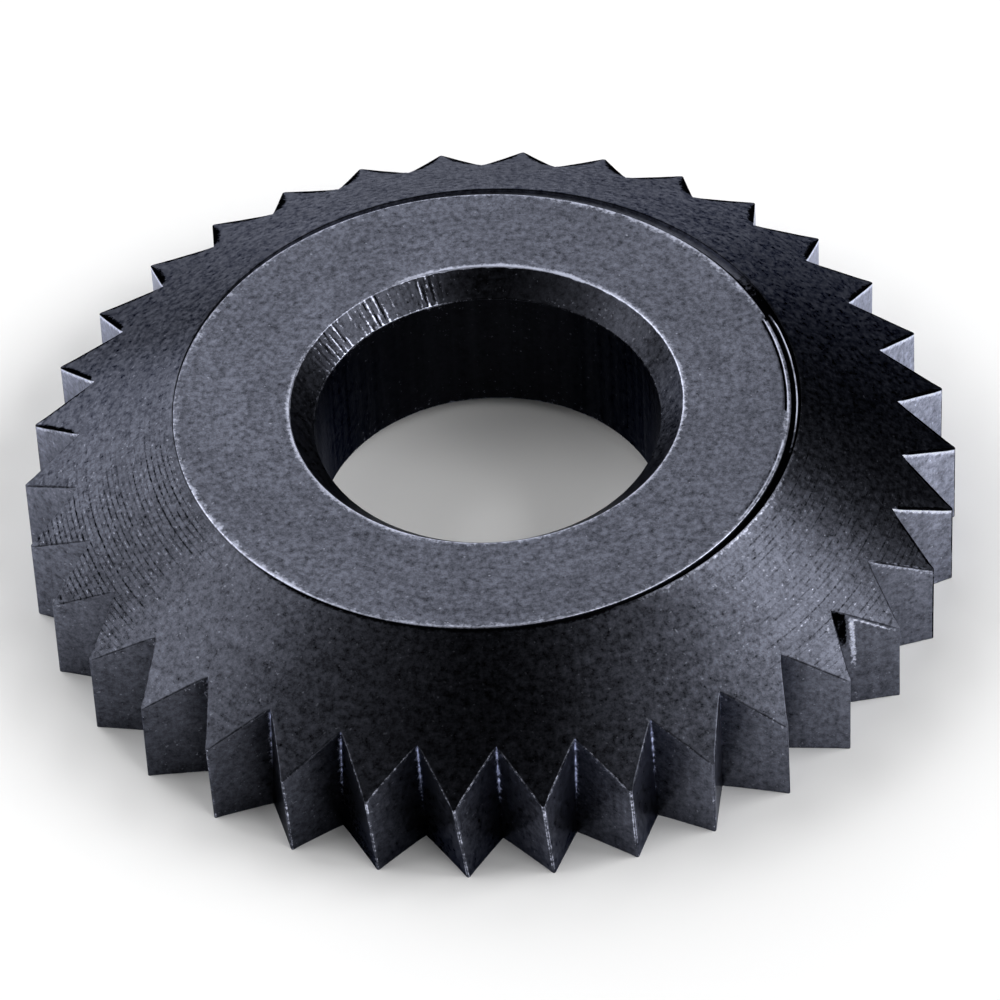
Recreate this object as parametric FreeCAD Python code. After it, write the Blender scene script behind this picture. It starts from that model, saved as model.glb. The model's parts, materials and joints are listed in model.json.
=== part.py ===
import FreeCAD, Part
import math
import os

# Carving disc for an angle grinder: a thick steel ring with a conical, toothed rim
# pressed onto a flat-faced hub ring, which sits on the grinder's arbor.
# The disc lies on its back face. The origin is the middle of that face, +Z runs up
# along the arbor bore, and one tooth points along +Y. All lengths are millimetres.

# The whole disc
TIP_RADIUS = 30.0
THICKNESS = 12.0

# Conical front flank of the rim, from the hub's seat down to the tooth tips
LIP_HEIGHT = 6.15

# Teeth: V notches cut straight through the rim, parallel to the bore
TOOTH_COUNT = 34
ROOT_RADIUS = 26.7
TIP_LAND = 0.16

# Press fit between hub ring and rim, with the lead-in chamfers that it needs at the back
SEAT_RADIUS = 20.1
HUB_LEAD_IN = 0.5
RIM_LEAD_IN = 0.3

# Arbor bore through the hub ring, chamfered alike at both ends
ARBOR_RADIUS = 11.115
BORE_CHAMFER = 1.5

# Shallow shoulder turned round the hub's front face, slightly off centre, so that the
# recess outside it is widest on one side and runs out to nothing on the other
SHOULDER_RADIUS = 19.78
SHOULDER_DEPTH = 0.3
SHOULDER_EDGE_BREAK = 0.15
SHOULDER_RUN_OUT = 0.38
SHOULDER_RUN_OUT_ANGLE = 206.0

# How far cutting solids reach past the surface that they cut
OVERCUT = 1.0

Z_AXIS = FreeCAD.Vector(0, 0, 1)
ORIGIN = FreeCAD.Vector(0, 0, 0)


def polar(radius, angle, height=0.0):
    """A point from its radius, its angle in radians counted from +X, and its height."""
    return FreeCAD.Vector(radius * math.cos(angle), radius * math.sin(angle), height)


def turned(half_section):
    """The solid of revolution about Z of a closed outline of (radius, height) points."""
    points = [FreeCAD.Vector(radius, 0, height) for radius, height in half_section]
    face = Part.Face(Part.makePolygon(points + points[:1]))
    return face.revolve(ORIGIN, Z_AXIS, 360)


def notch_cutter(middle_angle):
    """The V-shaped bar that leaves half a tooth on each side of the given angle."""
    half_pitch = math.pi / TOOTH_COUNT
    half_land = TIP_LAND / 2 / TIP_RADIUS
    root = polar(ROOT_RADIUS, middle_angle, -OVERCUT)
    corners = [root]
    for side in (-1, 1):
        tip_corner = polar(TIP_RADIUS, middle_angle + side * (half_pitch - half_land), -OVERCUT)
        corners.append(root + (tip_corner - root) * 1.5)
    face = Part.Face(Part.makePolygon(corners + corners[:1]))
    return face.extrude(Z_AXIS * (THICKNESS + 2 * OVERCUT))


def toothed_rim():
    """The cutting ring: cone in front, flat back, 34 sharp teeth and a plain seat inside."""
    blank = turned([
        (SEAT_RADIUS + RIM_LEAD_IN, 0),
        (TIP_RADIUS, 0),
        (TIP_RADIUS, LIP_HEIGHT),
        (SEAT_RADIUS, THICKNESS),
        (SEAT_RADIUS, RIM_LEAD_IN),
    ])
    pitch = 2 * math.pi / TOOTH_COUNT
    first_notch = math.pi / 2 + pitch / 2
    cutters = [notch_cutter(first_notch + k * pitch) for k in range(TOOTH_COUNT)]
    return blank.cut(cutters)


def shoulder_waste():
    """What turning the off-centre shoulder takes away round the hub's front face."""
    floor = THICKNESS - SHOULDER_DEPTH
    centre = polar(SHOULDER_RUN_OUT, math.radians(SHOULDER_RUN_OUT_ANGLE), floor)
    break_height = SHOULDER_DEPTH - SHOULDER_EDGE_BREAK
    wall = Part.makeCylinder(SHOULDER_RADIUS, break_height, centre, Z_AXIS)
    edge = Part.makeCone(
        SHOULDER_RADIUS,
        SHOULDER_RADIUS - SHOULDER_EDGE_BREAK,
        SHOULDER_EDGE_BREAK,
        centre + Z_AXIS * break_height,
        Z_AXIS,
    )
    around = Part.makeCylinder(
        SEAT_RADIUS + OVERCUT, SHOULDER_DEPTH, FreeCAD.Vector(0, 0, floor), Z_AXIS
    )
    return around.cut([wall, edge])


def hub_ring():
    """The bush that carries the rim: arbor bore, clamping faces and the turned shoulder."""
    bush = turned([
        (ARBOR_RADIUS + BORE_CHAMFER, 0),
        (SEAT_RADIUS - HUB_LEAD_IN, 0),
        (SEAT_RADIUS, HUB_LEAD_IN),
        (SEAT_RADIUS, THICKNESS),
        (ARBOR_RADIUS + BORE_CHAMFER, THICKNESS),
        (ARBOR_RADIUS, THICKNESS - BORE_CHAMFER),
        (ARBOR_RADIUS, BORE_CHAMFER),
    ])
    return bush.cut(shoulder_waste())


def main():
    os.makedirs("parts", exist_ok=True)
    nodes = {
        "toothed_rim": toothed_rim(),
        "hub_ring": hub_ring(),
    }
    for name, shape in nodes.items():
        solids = shape.Solids
        if len(solids) != 1 or not shape.isValid():
            raise ValueError(f"{name} is not one valid solid")
        solids[0].exportStep(f"parts/{name}.step")
        print(name, round(solids[0].Volume, 1), "mm3")


main()
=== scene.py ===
import json
import math

import bmesh
import bpy
import numpy as np
from mathutils import Matrix, Vector


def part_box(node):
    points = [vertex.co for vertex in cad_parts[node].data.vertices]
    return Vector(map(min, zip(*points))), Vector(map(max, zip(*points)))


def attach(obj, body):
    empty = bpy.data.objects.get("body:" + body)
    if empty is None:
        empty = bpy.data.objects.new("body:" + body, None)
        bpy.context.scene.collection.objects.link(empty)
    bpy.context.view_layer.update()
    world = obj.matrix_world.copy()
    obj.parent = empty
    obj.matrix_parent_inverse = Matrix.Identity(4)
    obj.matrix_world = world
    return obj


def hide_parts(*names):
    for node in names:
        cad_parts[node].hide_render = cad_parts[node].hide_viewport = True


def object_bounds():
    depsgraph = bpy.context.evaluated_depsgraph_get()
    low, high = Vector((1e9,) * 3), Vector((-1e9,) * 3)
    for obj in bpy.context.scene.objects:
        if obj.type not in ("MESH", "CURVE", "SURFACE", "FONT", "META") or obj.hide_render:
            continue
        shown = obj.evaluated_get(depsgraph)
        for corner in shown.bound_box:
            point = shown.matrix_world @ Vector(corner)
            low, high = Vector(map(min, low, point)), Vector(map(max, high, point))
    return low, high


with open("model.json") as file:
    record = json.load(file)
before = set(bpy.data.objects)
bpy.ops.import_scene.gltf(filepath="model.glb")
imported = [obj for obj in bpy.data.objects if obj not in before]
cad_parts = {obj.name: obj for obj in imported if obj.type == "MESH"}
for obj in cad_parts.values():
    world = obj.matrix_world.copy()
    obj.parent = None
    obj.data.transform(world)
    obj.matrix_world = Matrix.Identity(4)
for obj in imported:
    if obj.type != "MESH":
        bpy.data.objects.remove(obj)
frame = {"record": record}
cad_low, cad_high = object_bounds()

# ---------------------------------------------------------------- sizes, in millimetres
MM = 0.001
rim_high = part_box("toothed_rim")[1] / MM
hub_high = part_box("hub_ring")[1] / MM
mounts = {mount["name"]: mount for mount in frame["record"]["mounts"]}

TIP_RADIUS = rim_high.y
THICKNESS = rim_high.z
SEAT_RADIUS = hub_high.x
BORE_RADIUS = mounts["arbor_bore"]["dims"]["r_mm"]
BORE_CHAMFER = (THICKNESS - mounts["arbor_bore"]["dims"]["length_mm"]) / 2
CHAMFER_RADIUS = BORE_RADIUS + BORE_CHAMFER

# Teeth and conical flank
TOOTH_COUNT = 34
PITCH_ANGLE = 2 * math.pi / TOOTH_COUNT
LIP_HEIGHT = 6.15
ROOT_RADIUS_FRONT = 26.5
ROOT_RADIUS_BACK = 26.95
CORNER_INSET = 0.07
CORNER_HALF_WIDTH = 0.125
NOSE_ROWS = ((0.03, 0.085), (0.01, 0.055), (0.0, 0.03))
RIM_LEAD_IN = 0.3

# Turned grooves on the flank
GROOVE_PITCH = 0.32
GROOVE_DEPTH = 0.013
CREST_RUB = 0.5

# Shoulder round the hub's face, turned off centre
SHOULDER_RADIUS = 19.78
SHOULDER_DEPTH = 0.3
SHOULDER_ROUND = 0.1
SHOULDER_RUN_OUT = 0.38
SHOULDER_RUN_OUT_ANGLE = math.radians(206.0)
HUB_LEAD_IN = 0.5
SEAT_GAP = 0.004

# Where the camera stands: the angle round the disc, and the disc's tilt in the picture.
# These and the camera's other values come from a least-squares fit to marked points.
CAMERA_AZIMUTH = math.radians(-4.10)
CAMERA_ELEVATION = math.radians(45.38)
CAMERA_ROLL = math.radians(-3.06)
CAMERA_DISTANCE = 472.5
CAMERA_AIM = (0.54, 1.54, 1.52)
CAMERA_LENS = 261.4

# The softboxes: each one's angle from the camera's right and its elevation, in degrees,
# its width and height, and its power in watts. Most of the places and powers began as a
# program's fit to the photo's tones.
SOFTBOX_DISTANCE = 900.0
SOFTBOXES = {
    "right_softbox": (0, 38, 480, 480, 5.0),
    "front_right_softbox": (315, 38, 480, 480, 3.0),
    "front_left_softbox": (225, 38, 480, 480, 1.0),
    "left_softbox": (180, 38, 480, 480, 3.0),
    "back_left_softbox": (135, 38, 480, 480, 2.0),
    "back_softbox": (90, 38, 480, 480, 1.0),
    "top_softbox": (130, 64, 480, 480, 1.0),
    "low_back_strip": (90, 12, 480, 330, 1.0),
    "low_left_strip": (135, 12, 480, 330, 1.5),
}


def camera_side(point):
    """A point or direction given as the camera sees it (right, away, up), in the row frame."""
    return Matrix.Rotation(CAMERA_AZIMUTH, 3, "Z") @ Vector(point)


def seen_window(angles, middle, half_width, fade):
    """1 within half_width degrees of an angle counted from the camera's right, then falling to 0."""
    centre = math.radians(middle) + CAMERA_AZIMUTH
    away = np.abs((np.asarray(angles) - centre + math.pi) % (2 * math.pi) - math.pi)
    return 1 - smooth_step((away - math.radians(half_width)) / math.radians(fade))


def around(angles, knots):
    """A value that follows (angle from the camera's right, in degrees; value) knots round the disc."""
    seen = np.degrees(np.asarray(angles) - CAMERA_AZIMUTH) % 360
    places, values = zip(*knots)
    return np.interp(seen, places, values, period=360)


# ---------------------------------------------------------------- camera, floor and lights
def look(obj, position, target, roll=0.0):
    """Puts obj at position, in millimetres, with its -Z axis towards target."""
    obj.location = Vector(position) * MM
    aim = (Vector(target) - Vector(position)).to_track_quat("-Z", "Y")
    obj.rotation_mode = "QUATERNION"
    obj.rotation_quaternion = aim @ Matrix.Rotation(roll, 3, "Z").to_quaternion()


def add_camera():
    data = bpy.data.cameras.new("camera")
    data.lens = CAMERA_LENS
    data.sensor_width = 36.0
    data.clip_start = 0.01
    data.clip_end = 20.0
    camera = bpy.data.objects.new("camera", data)
    bpy.context.scene.collection.objects.link(camera)
    back = Vector((0, -math.cos(CAMERA_ELEVATION), math.sin(CAMERA_ELEVATION)))
    look(camera, camera_side(back * CAMERA_DISTANCE), camera_side(CAMERA_AIM), CAMERA_ROLL)
    bpy.context.scene.camera = camera


def add_softbox(name, azimuth, elevation, width, height, power):
    data = bpy.data.lights.new(name, "AREA")
    data.shape = "RECTANGLE"
    data.size = width * MM
    data.size_y = height * MM
    data.energy = power
    light = bpy.data.objects.new(name, data)
    bpy.context.scene.collection.objects.link(light)
    turn = math.radians(azimuth)
    rise = math.radians(elevation)
    direction = Vector((math.cos(rise) * math.cos(turn), math.cos(rise) * math.sin(turn), math.sin(rise)))
    look(light, camera_side(direction * SOFTBOX_DISTANCE), (0, 0, THICKNESS / 2))


def add_floor():
    half = 4000.0 * MM
    mesh = bpy.data.meshes.new("floor")
    corners = [(-half, -half, 0), (half, -half, 0), (half, half, 0), (-half, half, 0)]
    mesh.from_pydata(corners, [], [(0, 1, 2, 3)])
    floor = bpy.data.objects.new("floor", mesh)
    bpy.context.scene.collection.objects.link(floor)
    material = bpy.data.materials.new("pale_floor")
    material.use_nodes = True
    shader = material.node_tree.nodes["Principled BSDF"]
    shader.inputs["Base Color"].default_value = (0.86, 0.86, 0.86, 1)
    shader.inputs["Roughness"].default_value = 0.9
    shader.inputs["Specular IOR Level"].default_value = 0.1
    mesh.materials.append(material)


def add_world():
    """A dim room: pale for the camera, so that the floor's far edge doesn't show."""
    world = bpy.data.worlds.new("studio")
    world.use_nodes = True
    bpy.context.scene.world = world
    nodes, links = world.node_tree.nodes, world.node_tree.links
    background = nodes["Background"]
    background.inputs["Color"].default_value = (0.012, 0.012, 0.014, 1)
    pale = nodes.new("ShaderNodeBackground")
    pale.inputs["Color"].default_value = (0.9, 0.9, 0.9, 1)
    path = nodes.new("ShaderNodeLightPath")
    mix = nodes.new("ShaderNodeMixShader")
    links.new(path.outputs["Is Camera Ray"], mix.inputs[0])
    links.new(background.outputs[0], mix.inputs[1])
    links.new(pale.outputs[0], mix.inputs[2])
    links.new(mix.outputs[0], nodes["World Output"].inputs["Surface"])


# ---------------------------------------------------------------- materials
class Shader:
    """Builds one node material. add() makes a node, links the sockets it is given and returns
    its output."""

    def __init__(self, name):
        self.material = bpy.data.materials.new(name)
        self.material.use_nodes = True
        self.tree = self.material.node_tree
        self.surface = self.tree.nodes["Principled BSDF"]

    def plug(self, socket, value):
        if isinstance(value, bpy.types.NodeSocket):
            self.tree.links.new(value, socket)
        else:
            socket.default_value = value

    def add(self, kind, inputs=(), output=0, **settings):
        node = self.tree.nodes.new(kind)
        for key, value in settings.items():
            setattr(node, key, value)
        for key, value in dict(inputs).items():
            self.plug(node.inputs[key], value)
        return node.outputs[output]

    def math(self, operation, first, second=0.0, third=0.0):
        inputs = {0: first, 1: second, 2: third}
        return self.add("ShaderNodeMath", inputs, operation=operation)

    def vector(self, operation, first, second=(0, 0, 0), scale=1.0, output=0):
        inputs = {0: first, "Scale": scale} if operation == "SCALE" else {0: first, 1: second}
        return self.add("ShaderNodeVectorMath", inputs, output, operation=operation)

    def noise(self, vector, scale, detail=2.0, roughness=0.5):
        inputs = {"Vector": vector, "Scale": scale, "Detail": detail, "Roughness": roughness}
        return self.add("ShaderNodeTexNoise", inputs)

    def ramp(self, value, low, high, to_low=0.0, to_high=1.0):
        """value carried from the range low..high to to_low..to_high, and clamped there."""
        inputs = {"Value": value, 1: low, 2: high, 3: to_low, 4: to_high}
        return self.add("ShaderNodeMapRange", inputs)

    def mix_colour(self, factor, first, second, blend="MIX"):
        node = self.tree.nodes.new("ShaderNodeMix")
        node.data_type = "RGBA"
        node.blend_type = blend
        self.plug(node.inputs[0], factor)
        self.plug(node.inputs[6], first)
        self.plug(node.inputs[7], second)
        return node.outputs[2]

    def attribute(self, name):
        return self.add("ShaderNodeAttribute", output="Fac", attribute_name=name)


def grey(value, blue=1.0):
    """Blackened steel's blue-grey at a given brightness; blue 0 makes it neutral."""
    return (value * (1 - 0.06 * blue), value, value * (1 + 0.27 * blue), 1.0)


# How much of a mirror's edge-on brightness the oxide keeps
EDGE_TINT = 0.5
# The black scale's brightness
SCALE_TONE = 0.0015
# The noise patterns' frequencies, per millimetre: streaks as (along, across) the circumference
FINE_LINES = (20.0, 6.5)
BROAD_LINES = (2.5, 1.6)
MOTTLE = 2.4
PATCHES = 0.22
SPECKS = 3.0
PITS = 2.4
CHIPS = 3.6
BUMP_STRENGTH = 0.27
BUMP_HEIGHT = 0.02


def steel(name, tone, roughness, lines, grain, contrast, specks, pits, bright=0.5, anisotropy=0.0):
    """Blackened steel: streaks along the turning direction, a mottled grain, pale specks, dark
    pits, bright metal where the mesh's "wear" is above 0 and dark scale where it is below 0;
    at some edges, the notch roots and the burr that wear is painted highlight and painted shade.
    The mesh's "shade" lightens or darkens the colour and the edge-on reflection, in stops: it is
    painted highlight and painted shade.

    tone: the oxide's mean brightness; lines, grain: the shares of streaks and of mottle in its
    variation; contrast: the size of that variation; specks, pits: thresholds, rarer when higher;
    bright: brightness of rubbed metal."""
    make = Shader(name)
    position = make.add("ShaderNodeTexCoord", output="Object")
    place = make.vector("SCALE", position, scale=1 / MM)
    flat = make.vector("MULTIPLY", place, (1, 1, 0))
    radius = make.vector("LENGTH", flat, output="Value")
    direction = make.vector("NORMALIZE", flat)

    def ring_noise(around, across, detail=2.0):
        """Noise drawn out along the circumference: `around` and `across` are its frequencies."""
        height = make.math("MULTIPLY", radius, across)
        along = make.vector("SCALE", direction, scale=around)
        rise = make.add("ShaderNodeCombineXYZ", {"Z": height})
        return make.noise(make.vector("ADD", along, rise), 1.0, detail)

    fine_lines = ring_noise(*FINE_LINES, 3.0)
    broad_lines = ring_noise(*BROAD_LINES)
    mottle = make.noise(place, MOTTLE, 4.0, 0.8)
    patches = make.noise(place, PATCHES, 2.0)

    mixed = make.math("MULTIPLY_ADD", fine_lines, lines, make.math("MULTIPLY", mottle, grain))
    mixed = make.math("DIVIDE", mixed, lines + grain)
    shade = make.ramp(mixed, 0.3, 0.7, 1 - contrast, 1 + contrast)
    drift = make.ramp(make.math("ADD", patches, broad_lines), 0.75, 1.25, 0.85, 1.12)
    shade = make.math("MULTIPLY", shade, drift)
    shade_colour = make.add("ShaderNodeCombineColor", {0: shade, 1: shade, 2: shade})
    colour = make.mix_colour(1.0, grey(tone), shade_colour, "MULTIPLY")

    speck_field = make.noise(make.vector("ADD", place, (31.0, 7.0, 3.0)), SPECKS, 1.0)
    speck = make.ramp(speck_field, specks, specks + 0.08, 0.0, 0.8)
    colour = make.mix_colour(speck, colour, grey(tone * 3.0, 0.8))
    pit_field = make.noise(make.vector("ADD", place, (-17.0, 11.0, 5.0)), PITS, 2.0)
    pit = make.ramp(pit_field, pits, pits + 0.1, 0.0, 0.9)
    colour = make.mix_colour(pit, colour, grey(tone * 0.15))
    # Painted highlight and painted shade: the mesh's shade attribute, in stops, lightens or darkens the
    # colour
    stops = make.math("POWER", 2.0, make.attribute("shade"))
    painted_light_colour = make.add("ShaderNodeCombineColor", {0: stops, 1: stops, 2: stops})
    colour = make.mix_colour(1.0, colour, painted_light_colour, "MULTIPLY")

    worn = make.attribute("wear")
    chips = make.noise(place, CHIPS, 4.0, 0.7)
    rub_here = make.math("ADD", worn, make.ramp(chips, 0.3, 0.7, -0.55, 0.35))
    rub = make.ramp(rub_here, 0.25, 0.9)
    colour = make.mix_colour(rub, colour, grey(bright, 0.85))
    broken = make.ramp(worn, -0.5, 0.0, 1.0, 0.0)
    break_up = make.math("MULTIPLY", broken, make.ramp(chips, 0.3, 0.7, -0.45, 0.45))
    scale_here = make.math("MULTIPLY_ADD", worn, -1.0, break_up)
    scale = make.ramp(scale_here, 0.25, 0.7)
    colour = make.mix_colour(scale, colour, grey(SCALE_TONE))
    make.plug(make.surface.inputs["Base Color"], colour)
    glint = make.ramp(mixed, 0.3, 0.7, 1 - 0.65 * contrast, 1 + 0.65 * contrast)
    # The edge-on reflection takes the painted highlight and shade as well, and none of it on the black scale
    tint = make.math("MINIMUM", make.math("MULTIPLY", glint, stops), 0.8 / EDGE_TINT)
    tint = make.math("MULTIPLY", tint, make.math("SUBTRACT", 1.0, scale))
    tint_colour = make.add("ShaderNodeCombineColor", {0: tint, 1: tint, 2: tint})
    tint_colour = make.mix_colour(1.0, grey(EDGE_TINT, 0.45), tint_colour, "MULTIPLY")
    make.plug(make.surface.inputs["Specular Tint"], tint_colour)

    rough = make.math("MULTIPLY_ADD", mottle, 0.4, roughness - 0.2)
    rough = make.math("MULTIPLY_ADD", pit, 0.25, rough)
    rough = make.math("MULTIPLY_ADD", rub, -0.06, rough)
    rough = make.math("MULTIPLY_ADD", scale, 0.3, rough)
    make.plug(make.surface.inputs["Roughness"], rough)

    relief = make.math("MULTIPLY", fine_lines, lines)
    relief = make.math("MULTIPLY_ADD", mottle, grain * 0.7, relief)
    relief = make.math("MULTIPLY_ADD", pit, -0.8, relief)
    bump_inputs = {"Strength": BUMP_STRENGTH, "Distance": BUMP_HEIGHT * MM, "Height": relief}
    make.plug(make.surface.inputs["Normal"], make.add("ShaderNodeBump", bump_inputs))

    make.surface.inputs["Metallic"].default_value = 1.0
    if anisotropy:
        make.surface.inputs["Anisotropic"].default_value = anisotropy
        make.surface.inputs["Anisotropic Rotation"].default_value = 0.25
        tangent = make.add("ShaderNodeTangent", direction_type="RADIAL", axis="Z")
        make.plug(make.surface.inputs["Tangent"], tangent)
    return make.material


def steels():
    """Every finish on the disc."""
    return {
        "flank": steel("turned_flank_steel", 0.037, 0.34, 0.15, 1.0, 0.9, 0.72, 0.72, anisotropy=0.6),
        "tooth": steel("milled_tooth_steel", 0.067, 0.34, 0.1, 1.0, 0.7, 0.72, 0.72, bright=0.9),
        "back": steel("ground_back_steel", 0.07, 0.40, 0.8, 0.8, 0.6, 0.74, 0.72),
        "face": steel("ground_face_steel", 0.116, 0.42, 0.15, 1.0, 0.85, 0.73, 0.72),
        "chamfer": steel("chattered_chamfer_steel", 0.03, 0.36, 0.1, 1.0, 0.9, 0.70, 0.70),
        "bore": steel("bored_steel", 0.008, 0.40, 0.5, 0.7, 0.6, 0.74, 0.72),
    }


# ---------------------------------------------------------------- mesh helpers
def smooth_step(value):
    value = np.clip(value, 0, 1)
    return value * value * (3 - 2 * value)


def add_piece(name, points, faces, wear, shade, materials, slots):
    """Links a smooth mesh, kept inside the CAD box: points in millimetres, their wear and their painted
    highlight and shade.
    """
    mesh = bpy.data.meshes.new(name)
    inside = np.clip(np.asarray(points) * MM, list(cad_low), list(cad_high))
    mesh.from_pydata(inside.tolist(), [], faces)
    for attribute, values in (("wear", wear), ("shade", shade)):
        data = mesh.attributes.new(attribute, "FLOAT", "POINT").data
        data.foreach_set("value", np.asarray(values, np.float32))
    for material in materials:
        mesh.materials.append(material)
    mesh.polygons.foreach_set("material_index", np.asarray(slots, np.int32))
    mesh.polygons.foreach_set("use_smooth", np.ones(len(faces), bool))
    mesh.update()
    piece = bpy.data.objects.new(name, mesh)
    bpy.context.scene.collection.objects.link(piece)
    return piece


def weld(piece, distance=1e-7, sharp_angle=math.radians(38)):
    """Joins the points where neighbouring strips meet, and keeps true corners sharp."""
    work = bmesh.new()
    work.from_mesh(piece.data)
    bmesh.ops.remove_doubles(work, verts=work.verts, dist=distance)
    bmesh.ops.recalc_face_normals(work, faces=work.faces)
    work.to_mesh(piece.data)
    work.free()
    piece.data.set_sharp_from_angle(angle=sharp_angle)


def grid_faces(index, closed_rows=False):
    """The quads of a grid of point numbers, rows by columns."""
    if closed_rows:
        index = np.concatenate([index, index[:, :1]], axis=1)
    quads = np.stack([index[:-1, :-1], index[:-1, 1:], index[1:, 1:], index[1:, :-1]], axis=-1)
    return quads.reshape(-1, 4).tolist()


def ring_wave(rng, angles, count):
    """A smooth random value between 0 and 1 for each angle, repeating after a full turn."""
    knots = rng.random(count)
    place = (np.asarray(angles) / (2 * math.pi)) % 1.0 * count
    first = np.floor(place).astype(int) % count
    share = smooth_step(place - np.floor(place))
    return knots[first] * (1 - share) + knots[(first + 1) % count] * share


# ---------------------------------------------------------------- the toothed rim
# Distance from a tooth's edge and drop below the surface (as a share of the edge's rounding)
# of the columns next to it, from the edge inwards
EDGE_COLUMNS = ((0.0, 1.0), (0.03, 0.4), (0.08, 0.0), (0.13, 0.0), (0.24, 0.0), (0.34, 0.0))
# The wear of those columns on a rubbed edge, on a scaled (black) one and on one that is both: rubbing with a
# painted edge highlight, and a painted shade line along the far edges
RUBBED_AND_HIGHLIGHT_EDGE = np.array([1.0, 1.0, 0.4, 0.0, 0.0, 0.0])
SHADE_LINE_EDGE = np.array([-1.0, -1.0, -1.0, -0.9, -0.4, 0.0])
RUBBED_THEN_SHADE_LINE_EDGE = np.array([0.9, 0.7, -0.9, -1.0, -0.9, 0.0])
EDGE_ROUND = 0.08
INNER_COLUMNS = 5
BACK_ROUND = 0.05
# Depths below the flank, in millimetres, then heights as shares, of the points down a tooth's side
SIDE_DEPTHS = (0.05, 0.2, 0.4)
SIDE_LEVELS = (0.75, 0.55, 0.35, 0.15)
SIDE_FOOT = 0.07
# How far the notch's root is drawn as rubbed metal at those points: a painted reflection, strongest high up
# and none at the foot
ROOT_PAINTED_REFLECTION = np.array([0.6, 0.9, 1.0, 1.0, 0.8, 0.35, 0.0, 0.0])
# The share of that on the first two rows out from the root
ROOT_ROW_SHARES = (1.0, 0.4)
# How far out from the root a tooth's edges take to reach their full rounding
EDGE_FADE = 0.6
UNDERSIDE_RUB = 0.3
# The share of a side's painted foot shade that its place in the notch adds
NOTCH_PAINTED_SHADE_SHARE = 0.6
# How much lighter the wall in the recess is made where the recess isn't black, in stops
BARE_WALL_SHADE = 1.8
# How far the front teeth lean at the lower edge, in millimetres, and where: each window is an
# angle from the camera's right, a half width and a fade, in degrees
TIP_LEAN = 0.55
LEAN_WINDOW = (262, 6, 38)
# How much one tooth differs from the next at its lower edge, in millimetres
BACK_ROOT_SCATTER = 0.3
BACK_SHIFT_SCATTER = 0.25
TIP_SCATTER = 0.12
# The burr on one tooth, drawn as a painted highlight along its arch and painted shade in the pocket beside
# it: where it is, and how far out it starts and ends
BURR_WINDOW = (327, 3, 1)
BURR_START = 0.3
BURR_END = 0.88
BURR_HIGHLIGHT = 0.75
BURR_POCKET_SHADE = 0.9

# What changes round the rim: knots of (degrees from the camera's right, value).
# Painted highlight and painted shade on the flank and on the teeth's sides, by zone, in stops
FLANK_PAINTED_LIGHT_AND_SHADE = ((0, -0.5), (30, 0.0), (200, 0.5), (235, 0.0), (265, -1.0), (300, 0.5), (335, 0.5))
SIDE_PAINTED_LIGHT_AND_SHADE = ((0, 2.5), (150, 2.5), (180, 1.5), (220, 0.0), (250, 0.0), (275, 1.0), (330, 1.0))
# How strongly the turning lines show as scaled valleys and rubbed crests
LINE_SCALE = (
    (150, 0.0), (160, 0.2), (180, 0.3), (190, 0.55), (207, 0.55), (220, 0.0), (296, 0.0), (308, 0.3),
    (330, 0.4), (344, 0.5), (352, 0.0),
)
# How bare the teeth's flank edges and noses are, partly a painted edge highlight; below 0 they are scaled
# black, a painted shade line along the far edges
EDGE_RUB_AND_PAINTED_LIGHT = (
    (24, -1.0), (165, -1.0), (182, -0.2), (200, 0.15), (245, 0.15), (257, 0.5), (288, 0.4), (300, 0.25),
    (332, 0.2), (342, -1.0),
)
NOSE_RUB_AND_PAINTED_LIGHT = (
    (20, -1.0), (165, -1.0), (185, 0.0), (225, 0.1), (232, 0.4), (290, 0.4), (305, 0.1), (330, 0.0),
    (340, -1.0),
)
# Where a flank edge is rubbed with a painted shade line beside it
BOTH_RUB_AND_SHADE_LINE = ((10, 1.0), (24, 0.0), (330, 0.0), (340, 1.0))
# How bare the top of each side is, with a painted highlight along it
SIDE_TOP_RUB_AND_HIGHLIGHT = (
    (40, 1.0), (162, 1.0), (170, 0.6), (178, 0.1), (250, 0.1), (262, 0.3), (285, 0.3), (300, 0.1),
    (325, 0.1), (336, 0.5), (345, 1.0),
)
# Painted reflection in the notch roots, by zone
NOTCH_ROOT_PAINTED_REFLECTION = ((190, 0.0), (215, 0.5), (240, 0.8), (285, 0.85), (300, 0.5), (315, 0.0))
MOUTH_RUB = (
    (0, 0.1), (40, 0.0), (215, 0.0), (232, -1.0), (289, -1.0), (298, 0.7), (335, 0.8), (350, 0.2),
)
# How much wider than usual the bands along a tooth's edges are
EDGE_SPREAD = ((20, 1.0), (60, 2.5), (120, 2.7), (160, 1.3), (180, 1.0))
# How deep the turned grooves are, as a share of their full depth
GROOVE_STRENGTH = (
    (40, 0.1), (145, 0.1), (170, 1.1), (210, 1.2), (235, 0.4), (295, 0.4), (310, 1.0), (340, 0.9), (360, 0.3),
)
# How black the recess outside the shoulder is
RECESS_BLACKNESS = ((25, 1.0), (36, 0.0), (280, 0.0), (292, 1.0))
# Painted shade: how much darker a tooth's side gets towards its foot and into its notch
FOOT_PAINTED_SHADE = (
    (0, -0.3), (140, -1.5), (170, -1.2), (185, -0.3), (225, -0.7), (250, -1.0), (290, -1.0), (315, -0.3),
)


def cone_height(radius):
    """The flank's height before its grooves are cut."""
    return THICKNESS - (radius - SEAT_RADIUS) * (THICKNESS - LIP_HEIGHT) / (TIP_RADIUS - SEAT_RADIUS)


def groove_strength(angles):
    """How deep the turned grooves are round the flank, as a share of their full depth."""
    return around(angles, GROOVE_STRENGTH)


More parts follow.
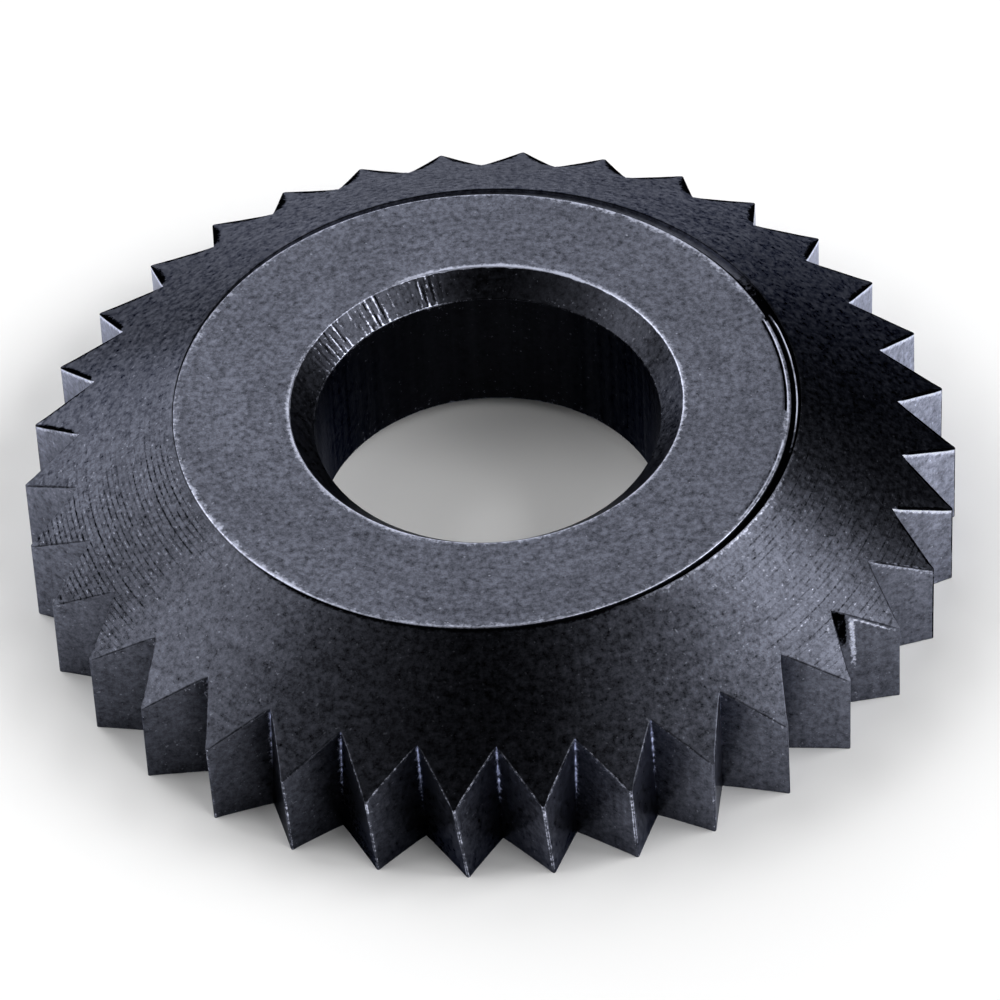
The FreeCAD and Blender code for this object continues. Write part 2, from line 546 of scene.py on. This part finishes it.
def flank_rows(rng):
    """Radius, groove depth and scale for each row from the mouth to the tips.

    Scale is about 1 in a valley and below 0 on a crest, which is rubbed instead."""
    rows = []
    cusp = SEAT_RADIUS + 0.42
    while cusp < TIP_RADIUS - 0.5:
        pitch = GROOVE_PITCH * rng.uniform(0.94, 1.06)
        depth = GROOVE_DEPTH * rng.uniform(0.7, 1.3)
        rows.append((cusp, 0.0, -CREST_RUB))
        rows.append((cusp + pitch / 2, depth, rng.uniform(0.8, 1.2)))
        cusp += pitch
    rows.append((TIP_RADIUS - 2.2 * CORNER_INSET, 0.0, 0.0))
    rows.append((TIP_RADIUS - CORNER_INSET, 0.0, 0.0))
    for inset, _ in NOSE_ROWS:
        rows.append((TIP_RADIUS - inset, 0.0, 0.0))
    return np.array(rows)


def straight_to_radius(start, end, radius):
    """Where the straight line from start to end, both (x, y), reaches each radius."""
    along = end - start
    a = along @ along
    b = start @ along
    c = start @ start - radius ** 2
    share = (-b + np.sqrt(np.maximum(b * b - a * c, 0))) / a
    return start + share[:, None] * along, share


def on_circle(radius, angle):
    return np.stack([radius * np.cos(angle), radius * np.sin(angle)], axis=-1)


class Tooth:
    """One tooth's rows of points, from the roots of its two notches out to its tip."""

    def __init__(self, middle, rows, roots_back, tip_shift):
        self.radii, self.depths, self.valleys = rows.T
        self.middle = middle
        self.spread = float(around(middle, EDGE_SPREAD))
        corner = TIP_RADIUS - CORNER_INSET
        body = self.radii <= corner + 1e-9
        self.edges = []
        for side, root_back in zip((-1, 1), roots_back):
            root_front = on_circle(self.radii[0], middle + side * PITCH_ANGLE / 2)
            tip_angle = middle + side * CORNER_HALF_WIDTH / corner
            tip_front = on_circle(corner, tip_angle)
            tip_back = on_circle(corner, tip_angle + tip_shift)
            points, share = straight_to_radius(root_front, tip_front, self.radii[body])
            back = root_back + share[:, None] * (tip_back - root_back)
            nose = []
            nose_back = []
            for inset, half in NOSE_ROWS:
                angle = middle + side * half / TIP_RADIUS
                nose.append(on_circle(TIP_RADIUS - inset, angle))
                nose_back.append(on_circle(TIP_RADIUS - inset, angle + tip_shift))
            self.edges.append((np.vstack([points, nose]), np.vstack([back, nose_back])))

    def columns(self, row, back):
        """The x, y places across the tooth at one row, and how far its edge columns are squeezed."""
        left, right = (self.edges[side][1 if back else 0][row] for side in (0, 1))
        left_r, right_r = np.hypot(*left), np.hypot(*right)
        left_a, right_a = math.atan2(left[1], left[0]), math.atan2(right[1], right[0])
        if right_a < left_a:
            right_a += 2 * math.pi
        width = (right_a - left_a) * (left_r + right_r) / 2
        squeeze = min(1.0, 0.75 * width / 2 / (EDGE_COLUMNS[-1][0] * self.spread))
        shares = [gap * self.spread * squeeze / width for gap, _ in EDGE_COLUMNS]
        inner = np.linspace(shares[-1], 1 - shares[-1], INNER_COLUMNS + 2)[1:-1]
        shares = np.array(shares + list(inner) + [1 - share for share in reversed(shares)])
        places = on_circle(left_r + shares * (right_r - left_r), left_a + shares * (right_a - left_a))
        return places, squeeze


def across(near, far):
    """A value for every column across a tooth, from its values along both edges."""
    return np.concatenate([near, np.zeros(INNER_COLUMNS), far[::-1]])


def edge_wear_and_light(middle):
    """The wear across a tooth's flank next to its edges: rubbing with a painted edge highlight, and where
    below 0 a painted shade line.
    """
    rub = float(around(middle, EDGE_RUB_AND_PAINTED_LIGHT))
    both = float(around(middle, BOTH_RUB_AND_SHADE_LINE))
    near = RUBBED_AND_HIGHLIGHT_EDGE * rub if rub > 0 else SHADE_LINE_EDGE * -rub
    far = near * (1 - both) + RUBBED_THEN_SHADE_LINE_EDGE * both
    return across(near, far)


def burr_highlight_and_shade(middle, out, depth):
    """The burr on one tooth's near side, drawn into the wear: a painted highlight along a bright arch with
    painted shade in a dark pocket beside it.

    out: how far out towards the tip, depth: how far down the side, both from 0 to 1."""
    arch = (out > BURR_START) & (out < BURR_END) & (depth > 0.02) & (depth < 0.05)
    legs = (np.abs(out - BURR_START) < 0.03) | (np.abs(out - BURR_END) < 0.03)
    legs = legs & (depth > 0.02) & (depth < 0.6)
    pocket = (out < BURR_START - 0.08) & (depth < 0.3)
    return seen_window(middle, *BURR_WINDOW) * (BURR_HIGHLIGHT * (arch | legs) - BURR_POCKET_SHADE * pocket)


def tooth_loops(tooth, rng):
    """Round the tooth at each of its rows: the closed loop of points, their wear and their painted highlight
    and shade.
    """
    drops = across(*[np.array([drop for _, drop in EDGE_COLUMNS])] * 2)
    edge_rubs_and_light = edge_wear_and_light(tooth.middle)
    # Per tooth, by zone: rubbing with painted highlight on the nose and side top, the notch root's painted
    # reflection, the sides' painted highlight and shade, and painted shade towards the foot
    nose_rub_and_light, root_reflection, top_rub_and_light, side_painted_light, foot_painted_shade = (
        float(around(tooth.middle, knots))
        for knots in (NOSE_RUB_AND_PAINTED_LIGHT, NOTCH_ROOT_PAINTED_REFLECTION, SIDE_TOP_RUB_AND_HIGHLIGHT, SIDE_PAINTED_LIGHT_AND_SHADE, FOOT_PAINTED_SHADE)
    )
    side_wear = top_rub_and_light * np.array([1.0, 0.8, 0.15] + [0.0] * (len(SIDE_LEVELS) + 1))
    nose_wear = nose_rub_and_light * rng.uniform(0.3, 1.7, len(ROOT_PAINTED_REFLECTION))
    loops, wears, shades = [], [], []
    last = len(tooth.radii) - 1
    for row, radius in enumerate(tooth.radii):
        top, squeeze = tooth.columns(row, back=False)
        under, _ = tooth.columns(row, back=True)
        angles = np.arctan2(top[:, 1], top[:, 0])
        fade = float(smooth_step((radius - tooth.radii[0]) / EDGE_FADE))
        surface = cone_height(radius) - tooth.depths[row] * groove_strength(angles)
        top_z = surface - drops * EDGE_ROUND * squeeze * fade
        under_z = drops * BACK_ROUND * squeeze * fade
        on_nose = row > last - len(NOSE_ROWS)
        high, low = top_z[0], under_z[0]
        depths = np.array(SIDE_DEPTHS) / (high - low)
        levels = np.concatenate([1 - depths, SIDE_LEVELS, [SIDE_FOOT / (high - low)]])
        side_z = low + levels * (high - low)
        right_side = under[-1] + levels[:, None] * (top[-1] - under[-1])
        left_side = under[0] + levels[:, None] * (top[0] - under[0])
        loops.append(np.vstack([
            np.column_stack([top, top_z]),
            np.column_stack([right_side, side_z]),
            np.column_stack([under, under_z])[::-1],
            np.column_stack([left_side, side_z])[::-1],
        ]))

        # The wear down the sides and across the flank carries painted edge highlights and shade lines, the
        # notch root's painted reflection and the burr's painted highlight and shade
        side_rub = side_wear
        if on_nose:
            side_rub = nose_wear
        elif row < len(ROOT_ROW_SHARES):
            side_rub = np.maximum(side_wear, ROOT_PAINTED_REFLECTION * root_reflection * ROOT_ROW_SHARES[row])
        flank_rub = edge_rubs_and_light * max(fade, 0.25)
        valley = -tooth.valleys[row] * around(angles, LINE_SCALE)
        flank_rub = np.where(np.abs(flank_rub) > np.abs(valley), flank_rub, valley)
        if on_nose:
            flank_rub = np.full(len(angles), nose_rub_and_light)
        under_rub = UNDERSIDE_RUB * np.abs(drops) * fade
        out = (radius - tooth.radii[0]) / (TIP_RADIUS - tooth.radii[0])
        # The near side's wear, with the burr's painted highlight and shade
        near_wear_and_painted_light = side_rub + burr_highlight_and_shade(tooth.middle, out, 1 - levels)
        wears.append(np.concatenate([flank_rub, side_rub, under_rub, near_wear_and_painted_light[::-1]]))

        # Painted highlight and shade on the sides, with painted shade towards the foot and into the notch;
        # painted highlight and shade on the flank
        side = side_painted_light + foot_painted_shade * ((1 - levels) + NOTCH_PAINTED_SHADE_SHARE * (1 - out))
        flat = np.zeros(len(angles))
        flank = around(angles, FLANK_PAINTED_LIGHT_AND_SHADE)
        shades.append(np.concatenate([flank, side, flat, side[::-1]]))
    return np.array(loops), np.array(wears), np.array(shades)


def ring_profile():
    """Radius, height and wear down the rim's mouth and along its back, flank not included."""
    mouth = [
        (SEAT_RADIUS + 0.3, cone_height(SEAT_RADIUS + 0.3), 0.05),
        (SEAT_RADIUS + 0.2, cone_height(SEAT_RADIUS + 0.2), 0.5),
        (SEAT_RADIUS + 0.08, cone_height(SEAT_RADIUS + 0.08) - 0.002, 1.0),
        (SEAT_RADIUS + 0.022, THICKNESS - 0.032, 1.0),
        (SEAT_RADIUS, THICKNESS - 0.09, 0.3),
        (SEAT_RADIUS, THICKNESS - 0.16, -1.0),
        (SEAT_RADIUS, THICKNESS - 0.6, -1.0),
    ]
    seat = [(SEAT_RADIUS, THICKNESS * share, 0.0) for share in (0.7, 0.4)]
    back = [
        (SEAT_RADIUS, RIM_LEAD_IN, 0.3),
        (SEAT_RADIUS + RIM_LEAD_IN, 0.0, 0.6),
        (SEAT_RADIUS + RIM_LEAD_IN + 0.1, 0.0, 0.0),
    ]
    floor = [(radius, 0.0, 0.0) for radius in np.linspace(21.5, ROOT_RADIUS_FRONT - 0.2, 5)]
    return mouth, seat + back + floor


def ring_strip(first_row, first_wear, rows):
    """The ring behind one tooth: flank rows inwards to the mouth, then round to the back."""
    angles = np.arctan2(first_row[:, 1], first_row[:, 0])
    strength = groove_strength(angles)
    lines = around(angles, LINE_SCALE)
    # Painted highlight and shade on the flank, down to the mouth
    flank_painted_light = around(angles, FLANK_PAINTED_LIGHT_AND_SHADE)
    strip, wears, shades = [first_row], [first_wear], [flank_painted_light]
    for radius, depth, valley in rows[::-1]:
        height = cone_height(radius) - depth * strength
        strip.append(np.column_stack([on_circle(radius, angles), height]))
        wears.append(-valley * lines)
        shades.append(flank_painted_light)
    mouth, rest = ring_profile()
    for radius, height, rub in mouth:
        strip.append(np.column_stack([on_circle(radius, angles), np.full(len(angles), height)]))
        if rub > 0:
            wears.append(rub * around(angles, MOUTH_RUB))
            shades.append(flank_painted_light)
        else:
            recess_black = around(angles, RECESS_BLACKNESS)
            wears.append(rub * recess_black)
            shades.append(flank_painted_light + BARE_WALL_SHADE * (1 - recess_black))
    for radius, height, rub in rest:
        strip.append(np.column_stack([on_circle(radius, angles), np.full(len(angles), height)]))
        wears.append(np.full(len(angles), rub))
        shades.append(np.zeros(len(angles)))
    return strip, wears, shades


def build_rim(finishes):
    rng = np.random.default_rng(34)
    rows = flank_rows(rng)
    root_row = int(np.argmin(np.abs(rows[:, 0] - ROOT_RADIUS_FRONT)))
    middles = math.pi / 2 + PITCH_ANGLE * np.arange(TOOTH_COUNT)

    back_radii = ROOT_RADIUS_BACK + rng.uniform(-BACK_ROOT_SCATTER, BACK_ROOT_SCATTER, TOOTH_COUNT)
    shifts = rng.uniform(-BACK_SHIFT_SCATTER, BACK_SHIFT_SCATTER, TOOTH_COUNT)
    back_shifts = shifts / ROOT_RADIUS_BACK
    leans = TIP_LEAN * seen_window(middles, *LEAN_WINDOW)
    tip_shifts = (rng.uniform(-TIP_SCATTER, TIP_SCATTER, TOOTH_COUNT) + leans) / TIP_RADIUS
    roots_back = on_circle(back_radii, middles + PITCH_ANGLE / 2 + back_shifts)

    points, wear, shade, faces, slots = [], [], [], [], []
    width = 2 * len(EDGE_COLUMNS) + INNER_COLUMNS
    side_count = len(ROOT_PAINTED_REFLECTION) + 1
    loop_kinds = np.repeat([0, 1, 2, 1], [width - 1, side_count, width - 1, side_count])
    mouth_rows = len(ring_profile()[0])
    count = 0
    for k, middle in enumerate(middles):
        tooth = Tooth(middle, rows[root_row:], (roots_back[k - 1], roots_back[k]), tip_shifts[k])
        loops, wears, shades = tooth_loops(tooth, rng)
        size = loops.shape[1]
        numbers = count + np.arange(loops.shape[0] * size).reshape(loops.shape[:2])
        points.append(loops.reshape(-1, 3))
        wear.append(wears.ravel())
        shade.append(shades.ravel())
        count += numbers.size
        faces += grid_faces(numbers, closed_rows=True)
        slots += np.tile(loop_kinds, loops.shape[0] - 1).tolist()
        faces.append(numbers[-1].tolist())
        slots.append(1)

        first_row, first_wear = loops[0, :width], wears[0, :width]
        strip, strip_wear, strip_shade = ring_strip(first_row, first_wear, rows[:root_row])
        strip.append(loops[0, size // 2: size // 2 + width][::-1])
        strip_wear.append(np.zeros(width))
        strip_shade.append(np.zeros(width))
        strip = np.array(strip)
        numbers = count + np.arange(strip.shape[0] * width).reshape(strip.shape[:2])
        points.append(strip.reshape(-1, 3))
        wear.append(np.array(strip_wear).ravel())
        shade.append(np.array(strip_shade).ravel())
        count += numbers.size
        faces += grid_faces(numbers)
        kinds = np.where(np.arange(strip.shape[0] - 1) < root_row + mouth_rows, 0, 2)
        slots += np.repeat(kinds, width - 1).tolist()

    materials = [finishes["flank"], finishes["tooth"], finishes["back"]]
    wear, shade = np.concatenate(wear), np.concatenate(shade)
    piece = add_piece("carving_rim", np.vstack(points), faces, wear, shade, materials, slots)
    weld(piece)
    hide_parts("toothed_rim")
    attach(piece, "root")
    return piece


# ---------------------------------------------------------------- the hub ring
HUB_COLUMNS = 1080
CHATTER_WAVES = 148
CHATTER_DEPTH = 0.045
CHATTER_WINDOW = (128, 18, 12)
TOOL_MARK_INSET = 0.32
TOOL_MARK_WIDTH = 0.18
TOOL_MARK_DEPTH = 0.07
TOOL_MARK_WINDOW = (6, 12, 1.5)
FAINT_MARK_WINDOW = (334, 9, 3)
FAINT_MARK_SHARE = 0.4
FACE_NOTCH_WINDOW = (19, 0.4, 0.4)
FACE_NOTCH_DEPTH = 0.15
FACE_BAND = 0.6
CHAMFER_BAND = 0.42

# What changes round the hub: knots of (degrees from the camera's right, value).
# Painted highlight and painted shade on the front chamfer, by zone, in stops
CHAMFER_PAINTED_LIGHT_AND_SHADE = ((40, 0.0), (75, -2.0), (105, -1.0), (120, 0.0), (140, 0.0), (155, -1.0), (175, 0.0))
# How bare the ridge in the recess is
RIDGE_RUB = ((342, 0.0), (350, 1.0), (16, 1.0), (21, 0.0))
# How bare the bands next to the face's outer edge, the chamfer's edge and the bore's edge are
FACE_BAND_RUB = (
    (0, 0.4), (20, 0.6), (30, 1.0), (65, 0.9), (100, 0.2), (140, 0.6), (155, 0.8), (170, 0.5), (195, 0.6),
    (208, 1.0), (225, 0.9), (250, 0.7),
    (285, 0.6), (310, 0.5), (330, 0.9), (348, 0.9),
)
CHAMFER_BAND_RUB = (
    (20, 0.7), (50, 0.7), (65, 1.0), (112, 1.0), (120, 0.2), (150, 0.3), (165, 0.9), (235, 0.9), (260, 0.5),
    (335, 0.6),
)
FACE_EDGE_RUB = ((145, 1.0), (160, 0.5), (190, 0.5), (203, 1.0))
BORE_EDGE_RUB = ((20, 0.3), (90, 0.15), (108, 0.8), (160, 0.8), (175, 0.3), (260, 0.2))


def shoulder_radius(angles):
    """How far the off-centre shoulder's edge is from the bore's axis, for each angle."""
    turn = angles - SHOULDER_RUN_OUT_ANGLE
    reach = np.sqrt(SHOULDER_RADIUS ** 2 - (SHOULDER_RUN_OUT * np.sin(turn)) ** 2)
    return SHOULDER_RUN_OUT * np.cos(turn) + reach


def eased_corner(before, here, after, size, wears):
    """Rows of (points, wear) that carry a profile round one corner, worn before, on and after it."""
    wear_before, wear, wear_after = wears
    back = before - here
    on = after - here
    back = back / np.linalg.norm(back, axis=-1, keepdims=True)
    on = on / np.linalg.norm(on, axis=-1, keepdims=True)
    start = here + back * size
    finish = here + on * size
    rows = [(start + back * size * 0.5, wear_before), (start, (wear_before + wear) / 2)]
    for share in (1 / 3, 2 / 3):
        point = start * (1 - share) ** 2 + here * 2 * share * (1 - share) + finish * share ** 2
        rows.append((point, wear))
    rows += [(finish, (wear + wear_after) / 2), (finish + on * size * 0.5, wear_after)]
    return rows


def profile_rows(corners):
    """Rows of (points, wear) along a closed profile.

    Each corner is (radius, height, rounding, wear, spans of the straight run before it); its wear
    may be three values, for before it, on it and after it."""
    places = [np.stack([radius, height], axis=-1) for radius, height, _, _, _ in corners]
    rows = []
    for i, (_, _, size, wear, spans) in enumerate(corners):
        here = places[i]
        if np.max(size) > 0:
            after = places[(i + 1) % len(corners)]
            wears = wear if isinstance(wear, tuple) else (0.25 * wear, wear, 0.25 * wear)
            turn = eased_corner(places[i - 1], here, after, np.asarray(size).reshape(-1, 1), wears)
        else:
            turn = [(here, wear)]
        if rows:
            last = rows[-1][0]
            for step in range(1, spans):
                rows.append((last + (turn[0][0] - last) * step / spans, np.zeros(len(here))))
        rows += turn
    rows.append(rows[0])
    return rows


def hub_profile(angles, rng):
    """The bush's corners, from its back face up the bore and over the face to the shoulder."""
    full = np.ones(len(angles))
    wall = np.minimum(shoulder_radius(angles), SEAT_RADIUS - 3 * SEAT_GAP)
    outside = (SEAT_RADIUS - SEAT_GAP) * full
    middle = (CHAMFER_RADIUS + wall) / 2
    top = THICKNESS * full
    recess = top - SHOULDER_DEPTH
    recess_width = outside - wall

    bore_nicks = 0.045 + 0.06 * ring_wave(rng, angles, 120) ** 3
    chamfer_nicks = 0.05 + 0.05 * ring_wave(rng, angles, 160) ** 3
    bore_rub = around(angles, BORE_EDGE_RUB) * (0.7 + 0.5 * ring_wave(rng, angles, 50))
    chamfer_band = around(angles, CHAMFER_BAND_RUB) * (0.8 + 0.4 * ring_wave(rng, angles, 60))
    edge_rub = around(angles, FACE_EDGE_RUB) * (0.6 + 0.5 * ring_wave(rng, angles, 70))
    face_band = around(angles, FACE_BAND_RUB) * (0.5 + ring_wave(rng, angles, 220))
    mark = seen_window(angles, *TOOL_MARK_WINDOW)
    mark += FAINT_MARK_SHARE * seen_window(angles, *FAINT_MARK_WINDOW)
    mark_inset, mark_half = TOOL_MARK_INSET, TOOL_MARK_WIDTH / 2
    mark_floor = top - TOOL_MARK_DEPTH * mark
    ridge_place = np.minimum(recess_width, 0.5)
    notch = seen_window(angles, *FACE_NOTCH_WINDOW)
    ridge = around(angles, RIDGE_RUB) * (0.7 + 0.5 * ring_wave(rng, angles, 90))
    black = around(angles, RECESS_BLACKNESS)
    line = np.minimum(recess_width * 0.4, 0.2)
    edge_wears = (0.8 * face_band - notch, edge_rub - 2 * notch, 0.1 * full)
    none = 0.0 * full
    scale = -1.0 * full

    return [
        (middle, none, 0, none, 1),
        (CHAMFER_RADIUS * full, none, 0.05 * full, 0.7 * full, 4),
        (BORE_RADIUS * full, BORE_CHAMFER * full, 0.05 * full, 0.5 * full, 3),
        (BORE_RADIUS * full, top - BORE_CHAMFER, bore_nicks, bore_rub, 6),
        (CHAMFER_RADIUS * full, top, chamfer_nicks, (none, 0.3 + chamfer_band, chamfer_band), 7),
        ((CHAMFER_RADIUS + CHAMFER_BAND * 0.6) * full, top, 0, 0.5 * chamfer_band, 1),
        ((CHAMFER_RADIUS + CHAMFER_BAND) * full, top, 0, none, 1),
        (wall - FACE_BAND, top, 0, none, 12),
        (wall - mark_inset - mark_half - 0.05, top, 0, 0.3 * face_band, 1),
        (wall - mark_inset - mark_half / 3, mark_floor, 0, 0.45 * face_band - 2 * mark, 1),
        (wall - mark_inset + mark_half / 3, mark_floor, 0, 0.5 * face_band - 2 * mark, 1),
        (wall - mark_inset + mark_half + 0.02, top, 0, 1.2 * mark + 0.6 * face_band, 1),
        (wall, top - FACE_NOTCH_DEPTH * notch, SHOULDER_ROUND * full, edge_wears, 1),
        (wall, recess, 0, scale, 2),
        (wall + line, recess, 0, scale, 1),
        (wall + 1.3 * line, recess, 0, -black, 1),
        (wall + 0.55 * ridge_place, recess, 0, -black, 1),
        (wall + 0.68 * ridge_place, recess + 0.2 * ridge, 0, 2.3 * ridge - black, 1),
        (wall + 0.84 * ridge_place, recess + 0.2 * ridge, 0, 2.3 * ridge - black, 1),
        (wall + 0.96 * ridge_place, recess, 0, -black, 1),
        (outside, recess, 0, -black, 1),
        (outside, HUB_LEAD_IN * full, 0.04 * full, 0.5 * full, 5),
        (outside - HUB_LEAD_IN, none, 0.05 * full, 0.6 * full, 2),
    ]


def build_hub(finishes):
    rng = np.random.default_rng(22)
    angles = np.linspace(0, 2 * math.pi, HUB_COLUMNS, endpoint=False)
    rows = profile_rows(hub_profile(angles, rng))

    points = np.array([row[0] for row in rows])
    wear = np.array([row[1] for row in rows])
    radius, height = points[..., 0], points[..., 1]
    add_chatter(radius, height, wear, angles, rng)
    radius[-1], height[-1] = radius[0], height[0]
    on_chamfer = (radius < CHAMFER_RADIUS - 1e-6) & (height > THICKNESS - BORE_CHAMFER)
    # Painted highlight and painted shade on the front chamfer
    shade = on_chamfer * around(angles, CHAMFER_PAINTED_LIGHT_AND_SHADE)

    xyz = np.stack([radius * np.cos(angles), radius * np.sin(angles), height], axis=-1)
    numbers = np.arange(xyz[..., 0].size).reshape(xyz.shape[:2])
    faces = grid_faces(numbers, closed_rows=True)
    centre_r = (radius[:-1].mean(axis=1) + radius[1:].mean(axis=1)) / 2
    centre_z = (height[:-1].mean(axis=1) + height[1:].mean(axis=1)) / 2
    bottom_z = THICKNESS - BORE_CHAMFER - 0.05
    kinds = np.where(centre_z > bottom_z, 1, 2)
    kinds = np.where(centre_r > CHAMFER_RADIUS + 0.1, 3, kinds)
    kinds = np.where(centre_z > THICKNESS - 0.06, 0, kinds)
    kinds = np.where(centre_z < 0.03, 3, kinds)
    slots = np.repeat(kinds, HUB_COLUMNS).tolist()
    materials = [finishes["face"], finishes["chamfer"], finishes["bore"], finishes["back"]]
    xyz = xyz.reshape(-1, 3)
    piece = add_piece("hub_bush", xyz, faces, wear.ravel(), shade.ravel(), materials, slots)
    weld(piece)
    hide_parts("hub_ring")
    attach(piece, "root")
    return piece


def add_chatter(radius, height, wear, angles, rng):
    """Ripples that the chamfering tool left across the front chamfer, strong on one side only."""
    start = THICKNESS - BORE_CHAMFER
    share = (height - start) / BORE_CHAMFER
    inside = (radius < CHAMFER_RADIUS - 1e-6) & (share > 0.02) & (share < 0.98)
    window = 0.05 + 0.95 * seen_window(angles, *CHATTER_WINDOW)
    strength = window * (0.35 + ring_wave(rng, angles, 90))
    phase = CHATTER_WAVES * angles + 3.0 * ring_wave(rng, angles, 60)
    for row in range(len(radius)):
        here = inside[row]
        bell = np.sin(math.pi * np.clip(share[row], 0, 1)) ** 0.5
        ripple = 0.5 + 0.3 * np.sin(phase + 1.6 * share[row]) + 0.2 * np.sin(1.7 * phase - 2.5 * share[row])
        push = CHATTER_DEPTH * strength * bell * ripple * here / math.sqrt(2)
        radius[row] += push
        height[row] -= push
        wear[row] += here * strength * (0.7 - 1.4 * ripple)


# ---------------------------------------------------------------- the scene
bpy.context.scene.view_settings.view_transform = "Standard"
add_camera()
add_floor()
add_world()
for softbox, settings in SOFTBOXES.items():
    add_softbox(softbox, *settings)

finishes = steels()
build_rim(finishes)
build_hub(finishes)
